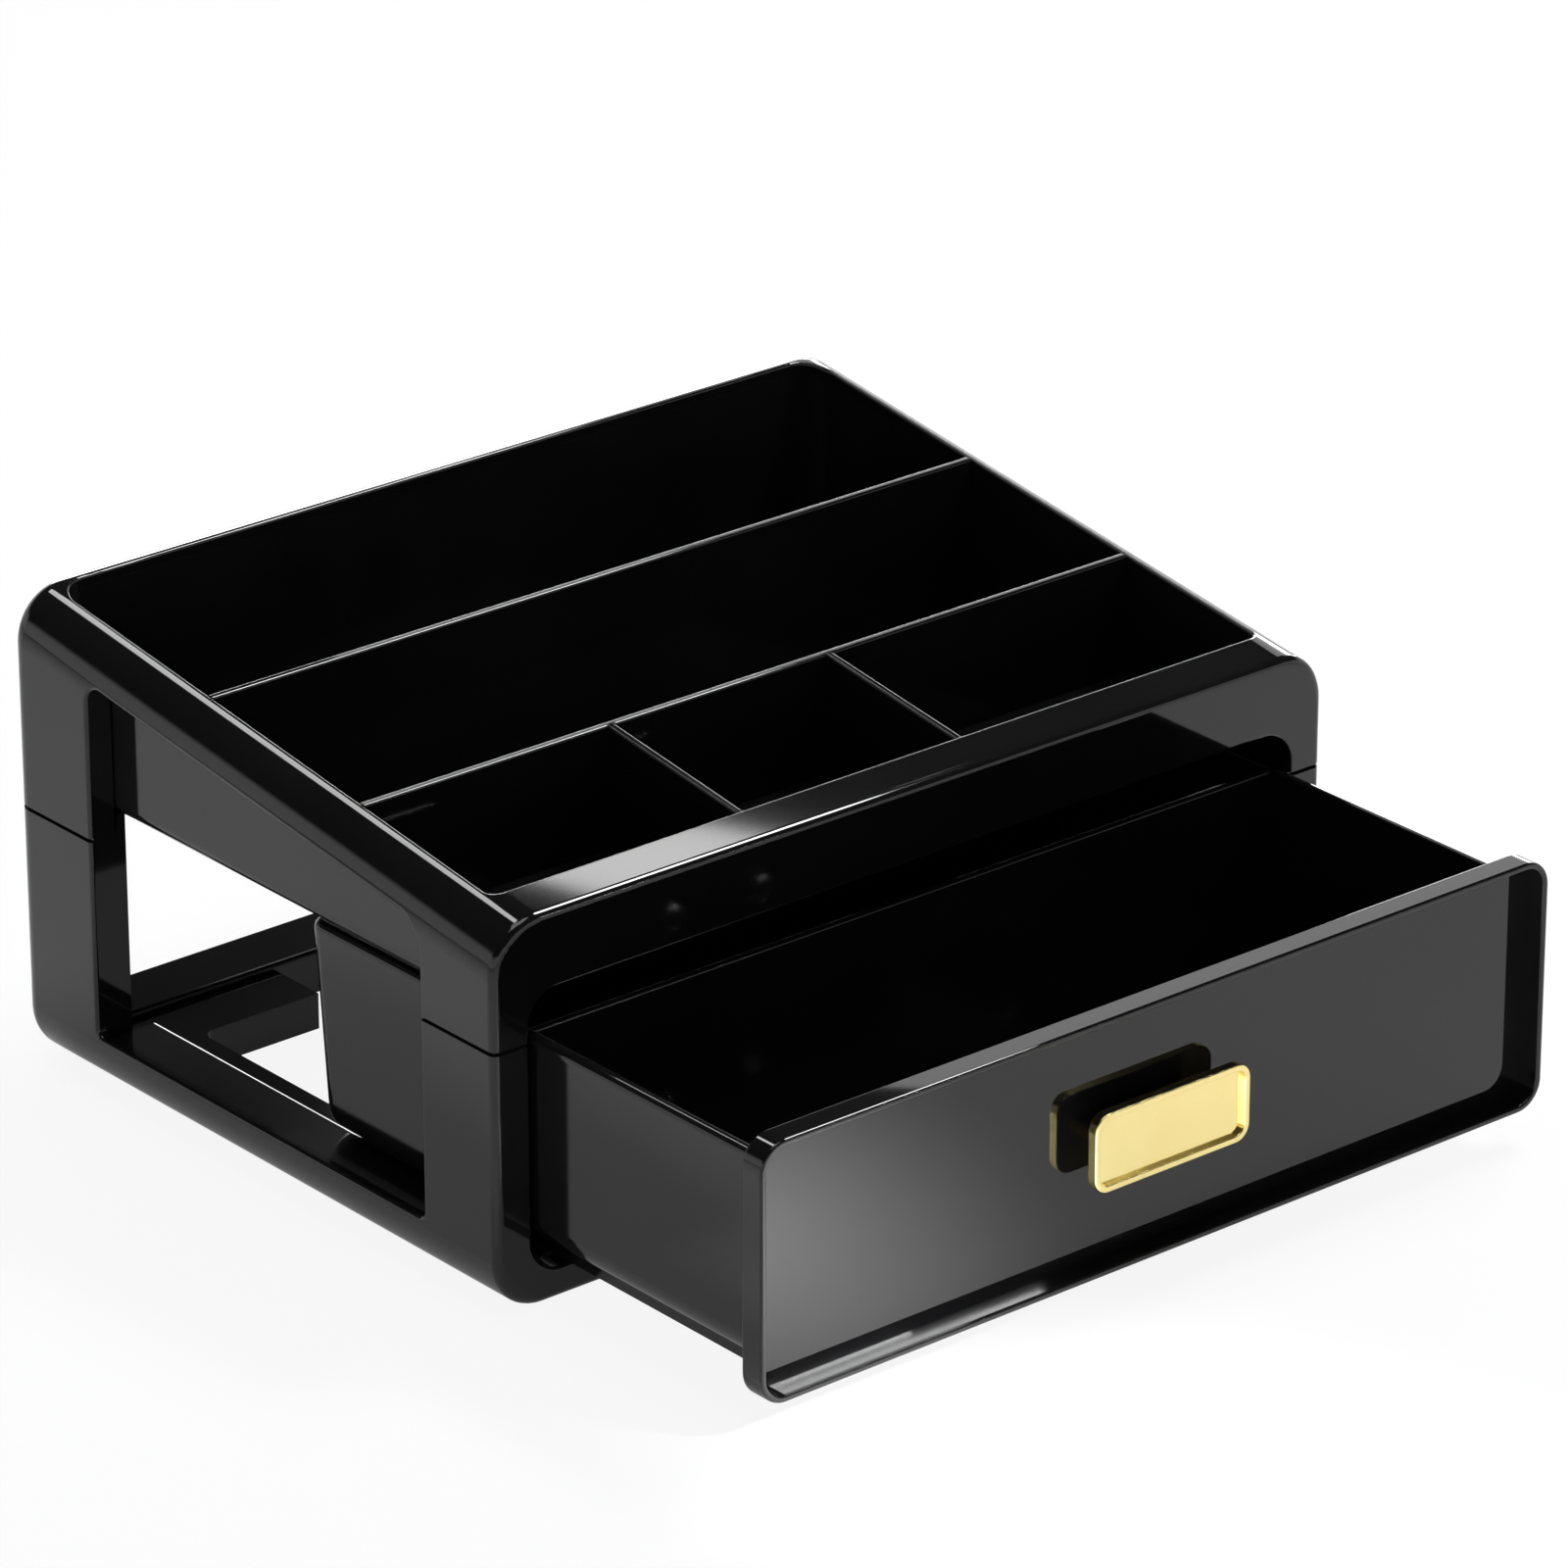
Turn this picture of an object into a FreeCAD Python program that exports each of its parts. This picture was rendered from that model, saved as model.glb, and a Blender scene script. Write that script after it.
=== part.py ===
import FreeCAD, Part
import math
import os

import Sketcher

# Perfume organizer: a sloped compartment deck on an open base frame, with one wide drawer.
# Millimetres. X runs across the front, Y from the front plane to the back, Z up.
# Every piece is drawn with the front plane at Y = 0, the underside of the base at Z = 0 and the
# drawer shut. The placements at the end of each section then lift the pieces onto the rubber
# feet, centre them on the space they take, and pull the drawer out.

SIZES = [
    # Outer form of the deck and the base together
    ("body_width", 300.0),
    ("body_depth", 218.0),
    ("front_height", 115.0),
    ("rear_height", 144.8),
    ("roll_radius", 16.0),
    ("rear_radius", 6.0),
    ("front_edge", 2.5),
    ("skin", 3.0),
    ("parting_height", 79.0),
    ("parting_groove", 1.2),
    ("parting_step", 1.0),
    # Legs, drawer opening and side windows
    ("leg_thickness", 12.0),
    ("front_leg", 32.0),
    ("rear_leg", 36.0),
    ("opening_low", 9.2),
    ("opening_rise", 13.6),
    ("opening_radius", 10.0),
    ("opening_return", 11.2),
    ("opening_edge", 1.0),
    ("window_low", 18.0),
    ("window_drop", 13.8),
    ("window_front_radius", 11.0),
    ("window_rear_radius", 5.0),
    ("window_foot_radius", 2.5),
    ("window_edge", 1.2),
    ("back_opening_radius", 4.0),
    ("joint_gap", 0.4),
    # Base frame
    ("floor_height", 11.1),
    ("sill_depth", 12.0),
    ("rear_rail", 21.0),
    ("rear_rail_height", 13.4),
    ("rear_rail_edge", 1.4),
    ("ledge_width", 32.4),
    ("floor_cut_front", 32.0),
    ("floor_cut_rear", 177.0),
    ("floor_neck", 74.0),
    ("floor_cut_radius", 4.0),
    ("rib", 3.0),
    ("stop_width", 4.5),
    ("stop_height", 3.0),
    ("stop_place", 20.0),
    ("stop_length", 4.0),
    # Locating posts of the deck, and the screws that hold them in the legs
    ("post_length", 24.0),
    ("post_width", 16.0),
    ("post_inset", 8.0),
    ("post_root", 20.0),
    ("leg_screw_drop", 14.0),
    ("leg_screw_shank", 2.4),
    ("leg_screw_head", 5.8),
    ("blind_web", 0.6),
    ("tip_gap", 0.3),
    # Rim and compartment tray
    ("rim_side", 11.9),
    ("rim_front", 14.5),
    ("rim_rear", 7.0),
    ("rim_front_radius", 4.0),
    ("rim_rear_radius", 9.0),
    ("rim_edge", 0.8),
    ("tray_reveal", 0.2),
    ("tray_fit", 0.2),
    ("tray_wall", 3.0),
    ("tongue_height", 5.0),
    ("tray_edge_radius", 4.0),
    # Tray dividers
    ("divider_thickness", 2.5),
    ("divider_drop", 0.8),
    ("divider_shoulder", 6.0),
    ("front_divider_place", 71.5),
    ("rear_divider_place", 139.5),
    ("left_divider_place", 97.5),
    ("middle_divider_place", 176.0),
    ("slot_depth", 0.8),
    ("slot_fit", 0.15),
    # Guide rails of the drawer
    ("rail_width", 17.2),
    ("rail_height", 5.9),
    ("rail_wall", 2.0),
    ("rail_edge", 2.0),
    ("rail_gap", 0.4),
    ("peg_diameter", 4.0),
    ("peg_length", 4.0),
    ("peg_spacing", 47.0),
    # Drawer tub
    ("drawer_open", 91.8),
    ("closed_gap", 0.4),
    ("tub_side_gap", 1.0),
    ("tub_top_gap", 3.65),
    ("tub_length", 192.0),
    ("tub_wall", 3.2),
    ("tub_edge_radius", 8.5),
    ("tub_rear_radius", 6.0),
    ("tub_rear_lean", 5.5),
    ("tub_outer_edge", 2.3),
    ("tub_inner_edge", 0.7),
    ("skid_inset", 22.5),
    ("skid_width", 3.0),
    ("skid_gap", 0.3),
    ("skid_height", 6.4),
    ("skid_front", 12.0),
    ("heel_place", 180.0),
    ("heel_length", 5.0),
    ("drawer_divider_place", 96.0),
    ("slot_rib", 1.6),
    # Drawer fascia
    ("fascia_margin", 8.2),
    ("fascia_lift", 1.1),
    ("fascia_rise", 6.15),
    ("fascia_depth", 8.2),
    ("fascia_radius", 8.5),
    ("fascia_rim", 2.0),
    ("fascia_recess", 7.0),
    ("fascia_edge", 0.8),
    ("spigot_margin", 6.0),
    ("spigot_depth", 1.4),
    ("boss_diameter", 5.6),
    ("boss_inset", 20.0),
    ("boss_height", 16.0),
    ("fascia_screw_shank", 2.4),
    ("fascia_screw_head", 9.0),
    ("fascia_screw_cap", 1.5),
    ("fascia_screw_length", 3.0),
    # Handle
    ("plate_width", 56.0),
    ("plate_height", 23.3),
    ("plate_thickness", 3.3),
    ("plate_radius", 5.0),
    ("plate_border", 2.0),
    ("plate_recess", 1.5),
    ("plate_edge", 0.5),
    ("handle_gap", 6.1),
    ("handle_post", 8.0),
    ("handle_post_spacing", 32.0),
    ("handle_spigot", 4.0),
    ("handle_socket_depth", 0.8),
    ("handle_screw", 4.0),
    ("handle_screw_head", 7.5),
    ("handle_screw_cap", 2.4),
    ("handle_screw_reach", 4.5),
    ("washer_diameter", 9.5),
    ("washer_thickness", 0.8),
    ("hole_play", 0.5),
    ("thread_play", 0.1),
    # Rubber feet
    ("foot_diameter", 14.0),
    ("foot_recess", 1.5),
    ("foot_proud", 1.0),
    ("foot_play", 0.4),
    ("foot_edge", 0.6),
    ("foot_side_inset", 30.0),
    ("foot_front_inset", 16.0),
    ("foot_rear_inset", 20.0),
]

FAR = 40.0  # reach of a cut past the piece it opens

doc = FreeCAD.newDocument("PerfumeOrganizer")
sheet = doc.addObject("Spreadsheet::Sheet", "Sizes")


class Length:
    """A size, kept as its number and as the spreadsheet formula that gives it."""

    def __init__(self, number, formula):
        self.number = number
        self.formula = formula

    def __add__(self, other):
        other = as_length(other)
        return Length(self.number + other.number, f"({self.formula} + {other.formula})")

    def __sub__(self, other):
        other = as_length(other)
        return Length(self.number - other.number, f"({self.formula} - {other.formula})")

    def __mul__(self, other):
        other = as_length(other)
        return Length(self.number * other.number, f"({self.formula} * {other.formula})")

    def __truediv__(self, other):
        other = as_length(other)
        return Length(self.number / other.number, f"({self.formula} / {other.formula})")

    def __radd__(self, other):
        return as_length(other) + self

    def __rsub__(self, other):
        return as_length(other) - self

    def __rmul__(self, other):
        return as_length(other) * self

    def __neg__(self):
        return Length(-self.number, f"(-{self.formula})")


def as_length(thing):
    if isinstance(thing, Length):
        return thing
    return Length(float(thing), f"({float(thing)})")


class Sizes:
    """The named cells of the spreadsheet."""


D = Sizes()
for row, (alias, number) in enumerate(SIZES, start=1):
    sheet.set(f"A{row}", alias)
    sheet.set(f"B{row}", str(number))
    sheet.setAlias(f"B{row}", alias)
    setattr(D, alias, Length(number, f"Sizes.{alias}"))
doc.recompute()


# Sketches and features


def bind(thing, path, length):
    """Tie a property of a document object to the formula of a length."""
    thing.setExpression(path, as_length(length).formula)


def pin(sketch, geometry, vertex, x, y):
    """Hold a vertex of a sketch at x, y from the sketch's origin."""
    for kind, length in (("DistanceX", as_length(x)), ("DistanceY", as_length(y))):
        constraint = Sketcher.Constraint(kind, -1, 1, geometry, vertex, length.number)
        index = sketch.addConstraint(constraint)
        bind(sketch, f"Constraints[{index}]", length)


def add_circle(sketch, x, y, diameter):
    centre = FreeCAD.Vector(as_length(x).number, as_length(y).number, 0)
    radius = as_length(diameter) / 2
    circle = Part.Circle(centre, FreeCAD.Vector(0, 0, 1), radius.number)
    geometry = sketch.addGeometry(circle, False)
    pin(sketch, geometry, 3, x, y)
    index = sketch.addConstraint(Sketcher.Constraint("Radius", geometry, radius.number))
    bind(sketch, f"Constraints[{index}]", radius)


def corner_arc(before, corner, after, radius):
    """Where a rounding of this radius starts and ends at a corner, its arc, and its turn."""
    towards_before = (before - corner).normalize()
    towards_after = (after - corner).normalize()
    half_angle = towards_before.getAngle(towards_after) / 2
    start = corner + towards_before * (radius / math.tan(half_angle))
    end = corner + towards_after * (radius / math.tan(half_angle))
    bisector = (towards_before + towards_after).normalize()
    centre = corner + bisector * (radius / math.sin(half_angle))
    left_turn = (corner - before).cross(after - corner).z > 0
    first, last = (start, end) if left_turn else (end, start)
    angles = [math.atan2(point.y - centre.y, point.x - centre.x) for point in (first, last)]
    circle = Part.Circle(centre, FreeCAD.Vector(0, 0, 1), radius)
    return start, end, Part.ArcOfCircle(circle, angles[0], angles[1]), left_turn


def add_outline(sketch, corners):
    """A closed outline through corners (x, y) or (x, y, radius of the rounding)."""
    points = [FreeCAD.Vector(as_length(c[0]).number, as_length(c[1]).number, 0) for c in corners]
    count = len(corners)
    arcs = {}
    for i, corner in enumerate(corners):
        if len(corner) > 2:
            radius = as_length(corner[2]).number
            arcs[i] = corner_arc(points[i - 1], points[i], points[(i + 1) % count], radius)
    lines = []
    for i in range(count):
        after = (i + 1) % count
        start = arcs[i][1] if i in arcs else points[i]
        end = arcs[after][0] if after in arcs else points[after]
        lines.append(sketch.addGeometry(Part.LineSegment(start, end), False))
    for i, corner in enumerate(corners):
        line_in, line_out = lines[i - 1], lines[i]
        if i not in arcs:
            sketch.addConstraint(Sketcher.Constraint("Coincident", line_in, 2, line_out, 1))
            pin(sketch, line_out, 1, corner[0], corner[1])
            continue
        arc = sketch.addGeometry(arcs[i][2], False)
        arc_start, arc_end = (1, 2) if arcs[i][3] else (2, 1)
        sketch.addConstraint(Sketcher.Constraint("Tangent", line_in, 2, arc, arc_start))
        sketch.addConstraint(Sketcher.Constraint("Tangent", arc, arc_end, line_out, 1))
        radius = as_length(corner[2])
        index = sketch.addConstraint(Sketcher.Constraint("Radius", arc, radius.number))
        bind(sketch, f"Constraints[{index}]", radius)
        meeting = sketch.addGeometry(Part.Point(points[i]), True)
        pin(sketch, meeting, 1, corner[0], corner[1])
        sketch.addConstraint(Sketcher.Constraint("PointOnObject", meeting, 1, line_in))
        sketch.addConstraint(Sketcher.Constraint("PointOnObject", meeting, 1, line_out))


# Each plane with its role in a body, and the sign that turns a place along its axis into an
# offset along the plane's normal
PLANES = {"XY": ("XY_Plane", 1), "XZ": ("XZ_Plane", -1), "YZ": ("YZ_Plane", 1)}


def add_sketch(body, name, plane, place, loops):
    """A sketch square to an axis of the body. A loop is an outline or ("circle", x, y, size)."""
    role, sign = PLANES[plane]
    support = [item for item in body.Origin.OriginFeatures if item.Role == role][0]
    sketch = body.newObject("Sketcher::SketchObject", f"{body.Name}_{name}_sketch")
    sketch.AttachmentSupport = [(support, "")]
    sketch.MapMode = "FlatFace"
    bind(sketch, "AttachmentOffset.Base.z", sign * as_length(place))
    for loop in loops:
        if loop[0] == "circle":
            add_circle(sketch, *loop[1:])
        else:
            add_outline(sketch, loop)
    return sketch


def solid_volume(feature):
    return 0.0 if feature is None or feature.Shape.isNull() else feature.Shape.Volume


def finish(body, feature, cut):
    """Recompute a new feature and make sure that it added or removed material."""
    before = solid_volume(body.Tip)
    body.Tip = feature
    doc.recompute()
    gained = solid_volume(feature) - before
    if (cut and gained > -1e-4) or (not cut and gained < 1e-4):
        raise RuntimeError(f"{feature.Name} changed the volume of {body.Label} by {gained}")
    return feature


def prism(body, name, plane, start, end, loops, cut=False):
    """Pad or pocket from one place to another along the axis square to the plane."""
    sketch = add_sketch(body, name, plane, start, loops)
    before = body.Tip
    feature = body.newObject("PartDesign::Pocket" if cut else "PartDesign::Pad",
                             f"{body.Name}_{name}")
    body.Tip = before
    feature.Profile = sketch
    bind(feature, "Length", as_length(end) - start)
    along_normal = PLANES[plane][1] > 0
    feature.Reversed = along_normal if cut else not along_normal
    return finish(body, feature, cut)


def loft_cut(body, name, sketches):
    before = body.Tip
    feature = body.newObject("PartDesign::SubtractiveLoft", f"{body.Name}_{name}")
    body.Tip = before
    feature.Profile = sketches[0]
    feature.Sections = sketches[1:]
    feature.Ruled = True
    return finish(body, feature, True)


def chosen(shapes, kind, test):
    return [f"{kind}{i}" for i, shape in enumerate(shapes, start=1) if test(shape)]


def dress(body, kind, name, size, test):
    """Fillet or chamfer on the edges that pass the test."""
    base = body.Tip
    edges = chosen(base.Shape.Edges, "Edge", test)
    if not edges:
        raise RuntimeError(f"no edge of {body.Label} for {name}")
    feature = body.newObject(f"PartDesign::{kind}", f"{body.Name}_{name}")
    feature.Base = (base, edges)
    bind(feature, "Radius" if kind == "Fillet" else "Size", size)
    body.Tip = feature
    doc.recompute()
    return feature


def fillet(body, name, size, test):
    return dress(body, "Fillet", name, size, test)


def chamfer(body, name, size, test):
    return dress(body, "Chamfer", name, size, test)


def shell(body, name, wall, test):
    """Hollow the body to a wall, open at the faces that pass the test."""
    base = body.Tip
    feature = body.newObject("PartDesign::Thickness", f"{body.Name}_{name}")
    feature.Base = (base, chosen(base.Shape.Faces, "Face", test))
    bind(feature, "Value", wall)
    feature.Reversed = True
    body.Tip = base
    return finish(body, feature, True)


def rectangle(left, right, low, high, *radii):
    """Corners of a rectangle, with one radius for all or one for the low and the high pair."""
    if not radii:
        return [(left, low), (right, low), (right, high), (left, high)]
    low_radius, high_radius = radii[0], radii[-1]
    return [(left, low, low_radius), (right, low, low_radius),
            (right, high, high_radius), (left, high, high_radius)]


def both_sides(loops):
    """The loops and their mirror images across X = 0."""
    mirrored = []
    for loop in loops:
        if loop[0] == "circle":
            mirrored.append(("circle", -as_length(loop[1]), loop[2], loop[3]))
        else:
            mirrored.append([(-as_length(c[0]),) + tuple(c[1:]) for c in reversed(loop)])
    return loops + mirrored


def side_prisms(body, name, near, far, loops, cut=False):
    """Prisms square to X on the right side, from near to far of the middle, and on the left."""
    prism(body, f"{name}_right", "YZ", near, far, loops, cut)
    prism(body, f"{name}_left", "YZ", -as_length(far), -as_length(near), loops, cut)


NODES = {}


def new_body(label, pieces=1):
    """A body for one node, or for a group of like pieces."""
    body = doc.addObject("PartDesign::Body", label)
    body.Label = label
    body.AllowCompound = pieces > 1
    NODES[label] = (body, pieces)
    return body


# Places that several pieces share

HALF = D.body_width / 2
OPENING_HIGH = D.parting_height + D.opening_rise
TRAY_BOTTOM = D.parting_height + D.tongue_height
SKID_LOW = D.floor_height + D.skid_gap
TUB_BOTTOM = SKID_LOW + D.skid_height
TUB_TOP = TRAY_BOTTOM - D.tub_top_gap
FASCIA_LOW = D.opening_low + D.fascia_lift
FASCIA_HIGH = TUB_TOP + D.fascia_rise
SIDE_INNER = HALF - D.skin
OPENING_HALF = HALF - D.leg_thickness
LEG_INNER = OPENING_HALF + D.skin
REAR_LEG_FRONT = D.body_depth - D.rear_leg
RAIL_FRONT = D.body_depth - D.rear_rail
TUB_FRONT = -D.closed_gap
TUB_REAR = TUB_FRONT + D.tub_length
TUB_HALF = OPENING_HALF - D.tub_side_gap
TUB_INNER = TUB_HALF - D.tub_wall
TUB_WALL_REAR = TUB_FRONT + D.tub_wall
FASCIA_FRONT = TUB_FRONT - D.fascia_depth
PANEL = FASCIA_FRONT + D.fascia_recess
FASCIA_MIDDLE = (FASCIA_LOW + FASCIA_HIGH) / 2
PLATE_BACK = PANEL - D.handle_gap
PLATE_FRONT = PLATE_BACK - D.plate_thickness
TRAY_HALF = HALF - D.rim_side + D.tray_reveal
TRAY_FRONT = D.rim_front + D.tray_reveal
TRAY_REAR = D.body_depth - D.rim_rear - D.tray_reveal
TRAY_FLOOR = TRAY_BOTTOM + D.tray_wall
SCREW_HEIGHT = D.parting_height - D.leg_screw_drop
FRONT_POST = D.post_inset
REAR_POST = D.body_depth - D.post_inset - D.post_width - 4
# The organizer with its drawer out is centred on Y = 0
SHIFT = (D.drawer_open - PLATE_FRONT - D.body_depth) / 2


def rim_height(y):
    """Height of the sloped top plane at a distance behind the front."""
    return D.front_height + (D.rear_height - D.front_height) * y / D.body_depth


def place_fixed(body):
    bind(body, "Placement.Base.y", SHIFT)
    bind(body, "Placement.Base.z", D.foot_proud)


def place_in_drawer(body):
    bind(body, "Placement.Base.y", SHIFT - D.drawer_open)
    bind(body, "Placement.Base.z", D.foot_proud)


def outer_form(body):
    """Wedge with its long edges rolled over and its rear edges rounded."""
    side = [(0, 0), (D.body_depth, 0), (D.body_depth, D.rear_height), (0, D.front_height)]
    prism(body, "form", "YZ", -HALF, HALF, [side])
    long_edge = D.body_depth.number - 1
    fillet(body, "roll", D.roll_radius, lambda e: e.BoundBox.YLength > long_edge)
    rear = D.body_depth.number - 0.1
    fillet(body, "rear_edge", D.rear_radius, lambda e: e.BoundBox.YMin > rear)


def cut_across(body, name, low, high):
    """Remove everything between two heights."""
    whole = rectangle(-HALF - FAR, HALF + FAR, -FAR, D.body_depth + FAR)
    prism(body, name, "XY", low, high, [whole], cut=True)


def window():
    """Side window: level foot between the legs, top edge parallel to the rim."""
    rear_top = rim_height(REAR_LEG_FRONT) - D.window_drop
    front_top = rim_height(D.front_leg) - D.window_drop
    return [(D.front_leg, D.window_low, D.window_foot_radius),
            (REAR_LEG_FRONT, D.window_low, D.window_foot_radius),
            (REAR_LEG_FRONT, rear_top, D.window_rear_radius),
            (D.front_leg, front_top, D.window_front_radius)]


def posts_plan(near, far, front_end=FRONT_POST, rear_end=REAR_POST):
    """Plan of the four locating posts, between two distances from the middle."""
    right = [rectangle(near, far, front_end, front_end + D.post_width),
             rectangle(near, far, rear_end, rear_end + D.post_width)]
    return both_sides(right)


def near_number(value, length, slack=0.05):
    return abs(value - as_length(length).number) < slack


def on_window_edge(edge):
    """Outer edge of a side window."""
    box = edge.BoundBox
    outside = max(box.XMin, -box.XMax) > HALF.number - 0.6
    front = box.YMin > D.front_leg.number - 0.05
    return outside and front and box.YMax < REAR_LEG_FRONT.number + 0.05


def on_opening_edge(edge):
    """Outer edge of the drawer opening in the front face."""
    box = edge.BoundBox
    across = max(box.XMax, -box.XMin) < OPENING_HALF.number + 0.05
    return across and box.YMax < 0.01


# Upper deck: moulded rim, front apron, back and upper legs, with posts that plug into the base

deck = new_body("upper_deck")
outer_form(deck)
cut_across(deck, "below_parting", -FAR, D.parting_height)
parting = D.parting_height.number
shell(deck, "hollow", D.skin, lambda f: f.BoundBox.ZMax < parting + 0.1)
fillet(deck, "front_edge", D.front_edge,
       lambda e: e.BoundBox.YMax < 0.01 and e.BoundBox.ZMax > parting + 1)

opening_top = [(-OPENING_HALF, D.parting_height - 1), (OPENING_HALF, D.parting_height - 1),
               (OPENING_HALF, OPENING_HIGH, D.opening_radius),
               (-OPENING_HALF, OPENING_HIGH, D.opening_radius)]
prism(deck, "drawer_opening", "XZ", -1, D.skin + 1, [opening_top], cut=True)
return_radius = D.opening_radius + D.skin
opening_arch = [(-LEG_INNER, D.parting_height), (-OPENING_HALF, D.parting_height),
                (-OPENING_HALF, OPENING_HIGH, D.opening_radius),
                (OPENING_HALF, OPENING_HIGH, D.opening_radius),
                (OPENING_HALF, D.parting_height), (LEG_INNER, D.parting_height),
                (LEG_INNER, OPENING_HIGH + D.skin, return_radius),
                (-LEG_INNER, OPENING_HIGH + D.skin, return_radius)]
prism(deck, "opening_return", "XZ", D.front_edge, D.opening_return, [opening_arch])

well = rectangle(D.rim_side - HALF, HALF - D.rim_side, D.rim_front, D.body_depth - D.rim_rear,
                 D.rim_front_radius, D.rim_rear_radius)
prism(deck, "well", "XY", D.parting_height, D.rear_height + FAR, [well], cut=True)

back_opening = [(-OPENING_HALF, D.parting_height - 1), (OPENING_HALF, D.parting_height - 1),
                (OPENING_HALF, TRAY_BOTTOM, D.back_opening_radius),
                (-OPENING_HALF, TRAY_BOTTOM, D.back_opening_radius)]
prism(deck, "back_opening", "XZ", D.body_depth - D.skin - 1, D.body_depth + 1, [back_opening],
      cut=True)
side_prisms(deck, "window", SIDE_INNER - 1, HALF + 1, [window()], cut=True)

fillet(deck, "window_edges", D.window_edge, on_window_edge)
fillet(deck, "opening_edges", D.opening_edge, on_opening_edge)

# Walls behind the window ends close the upper legs against the tray
jamb_near = TRAY_HALF + D.tray_wall + D.joint_gap
front_jamb = rectangle(jamb_near, SIDE_INNER + 0.5, D.front_leg - D.skin, D.front_leg)
rear_jamb = rectangle(jamb_near, SIDE_INNER + 0.5, REAR_LEG_FRONT, REAR_LEG_FRONT + D.skin)
prism(deck, "front_jambs", "XY", D.parting_height,
      rim_height(D.front_leg - D.skin) - D.window_drop + 2, both_sides([front_jamb]))
prism(deck, "rear_jambs", "XY", D.parting_height,
      rim_height(REAR_LEG_FRONT) - D.window_drop + 2, both_sides([rear_jamb]))

post_near = LEG_INNER + D.joint_gap + 0.1
post_far = SIDE_INNER - D.joint_gap
prism(deck, "post_roots", "XY", D.parting_height, D.parting_height + D.post_root,
      posts_plan(post_near, SIDE_INNER + 0.5))
prism(deck, "posts", "XY", D.parting_height - D.post_length, D.parting_height,
      posts_plan(post_near, post_far))
pilot = D.leg_screw_shank + D.thread_play
screw_spots = [FRONT_POST + D.post_width / 2, REAR_POST + D.post_width / 2]
pilot_end = post_far - D.blind_web
side_prisms(deck, "screw_pilots", LEG_INNER, pilot_end,
            [("circle", y, SCREW_HEIGHT, pilot) for y in screw_spots], cut=True)

rim_inner = HALF.number - D.rim_side.number


def on_rim_edge(edge):
    """Upper edge of the tray well, seen from above."""
    box = edge.BoundBox
    inside = box.XMax < rim_inner + 0.1 and box.XMin > -rim_inner - 0.1
    front = near_number(box.YMin, D.rim_front) or box.YMin > D.rim_front.number
    rear = box.YMax < D.body_depth.number - D.rim_rear.number + 0.1
    middle = edge.valueAt((edge.FirstParameter + edge.LastParameter) / 2)
    surface = rim_height(middle.y).number
    return inside and front and rear and middle.z > surface - 1.6 and middle.z < surface + 0.1


fillet(deck, "rim_edge", D.rim_edge, on_rim_edge)
place_fixed(deck)


# Base frame: lower legs, side sills, floor ledges round a wide opening, and the rear rail

base = new_body("base_frame")
outer_form(base)
cut_across(base, "above_parting", D.parting_height, D.rear_height + FAR)
fillet(base, "front_edge", D.front_edge,
       lambda e: e.BoundBox.YMax < 0.01 and e.BoundBox.ZMin < parting - 1)
above = D.parting_height + 1
prism(base, "tunnel", "XZ", D.sill_depth, RAIL_FRONT,
      [rectangle(-OPENING_HALF, OPENING_HALF, D.floor_height, above)], cut=True)
prism(base, "drawer_opening", "XZ", -1, D.sill_depth,
      [[(-OPENING_HALF, D.opening_low, D.opening_radius),
        (OPENING_HALF, D.opening_low, D.opening_radius),
        (OPENING_HALF, above), (-OPENING_HALF, above)]], cut=True)
prism(base, "back_opening", "XZ", RAIL_FRONT, D.body_depth + 1,
      [rectangle(-OPENING_HALF, OPENING_HALF, D.rear_rail_height, above)], cut=True)
bay = rectangle(OPENING_HALF - 1, SIDE_INNER, D.front_leg, REAR_LEG_FRONT)
prism(base, "side_bays", "XY", D.floor_height, above, both_sides([bay]), cut=True)
side_prisms(base, "window", SIDE_INNER - 1, HALF + 1, [window()], cut=True)
fillet(base, "window_edges", D.window_edge, on_window_edge)
fillet(base, "opening_edges", D.opening_edge, on_opening_edge)

front_cavity = rectangle(LEG_INNER, SIDE_INNER, D.skin, D.front_leg - D.skin)
rear_cavity = rectangle(LEG_INNER, SIDE_INNER, REAR_LEG_FRONT + D.skin,
                        D.body_depth - D.rear_radius)
prism(base, "leg_cavities", "XY", D.window_low, above,
      both_sides([front_cavity, rear_cavity]), cut=True)

# The groove at the parting plane: the top of each leg steps in
step_radius = D.rear_radius - D.parting_step
inside_step = [(D.parting_step - HALF, D.parting_step), (HALF - D.parting_step, D.parting_step),
               (HALF - D.parting_step, D.body_depth - D.parting_step, step_radius),
               (D.parting_step - HALF, D.body_depth - D.parting_step, step_radius)]
around = rectangle(-HALF - FAR, HALF + FAR, -FAR, D.body_depth + FAR)
prism(base, "parting_groove", "XY", D.parting_height - D.parting_groove, above,
      [around, inside_step], cut=True)

# Tongues on the inner walls of the legs reach up into the deck and carry the tray
front_tongue = rectangle(OPENING_HALF, LEG_INNER, D.opening_return + D.joint_gap, D.front_leg)
rear_tongue = rectangle(OPENING_HALF, LEG_INNER, REAR_LEG_FRONT, D.body_depth - D.rear_radius)
prism(base, "tongues", "XY", D.parting_height, TRAY_BOTTOM,
      both_sides([front_tongue, rear_tongue]))

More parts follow.
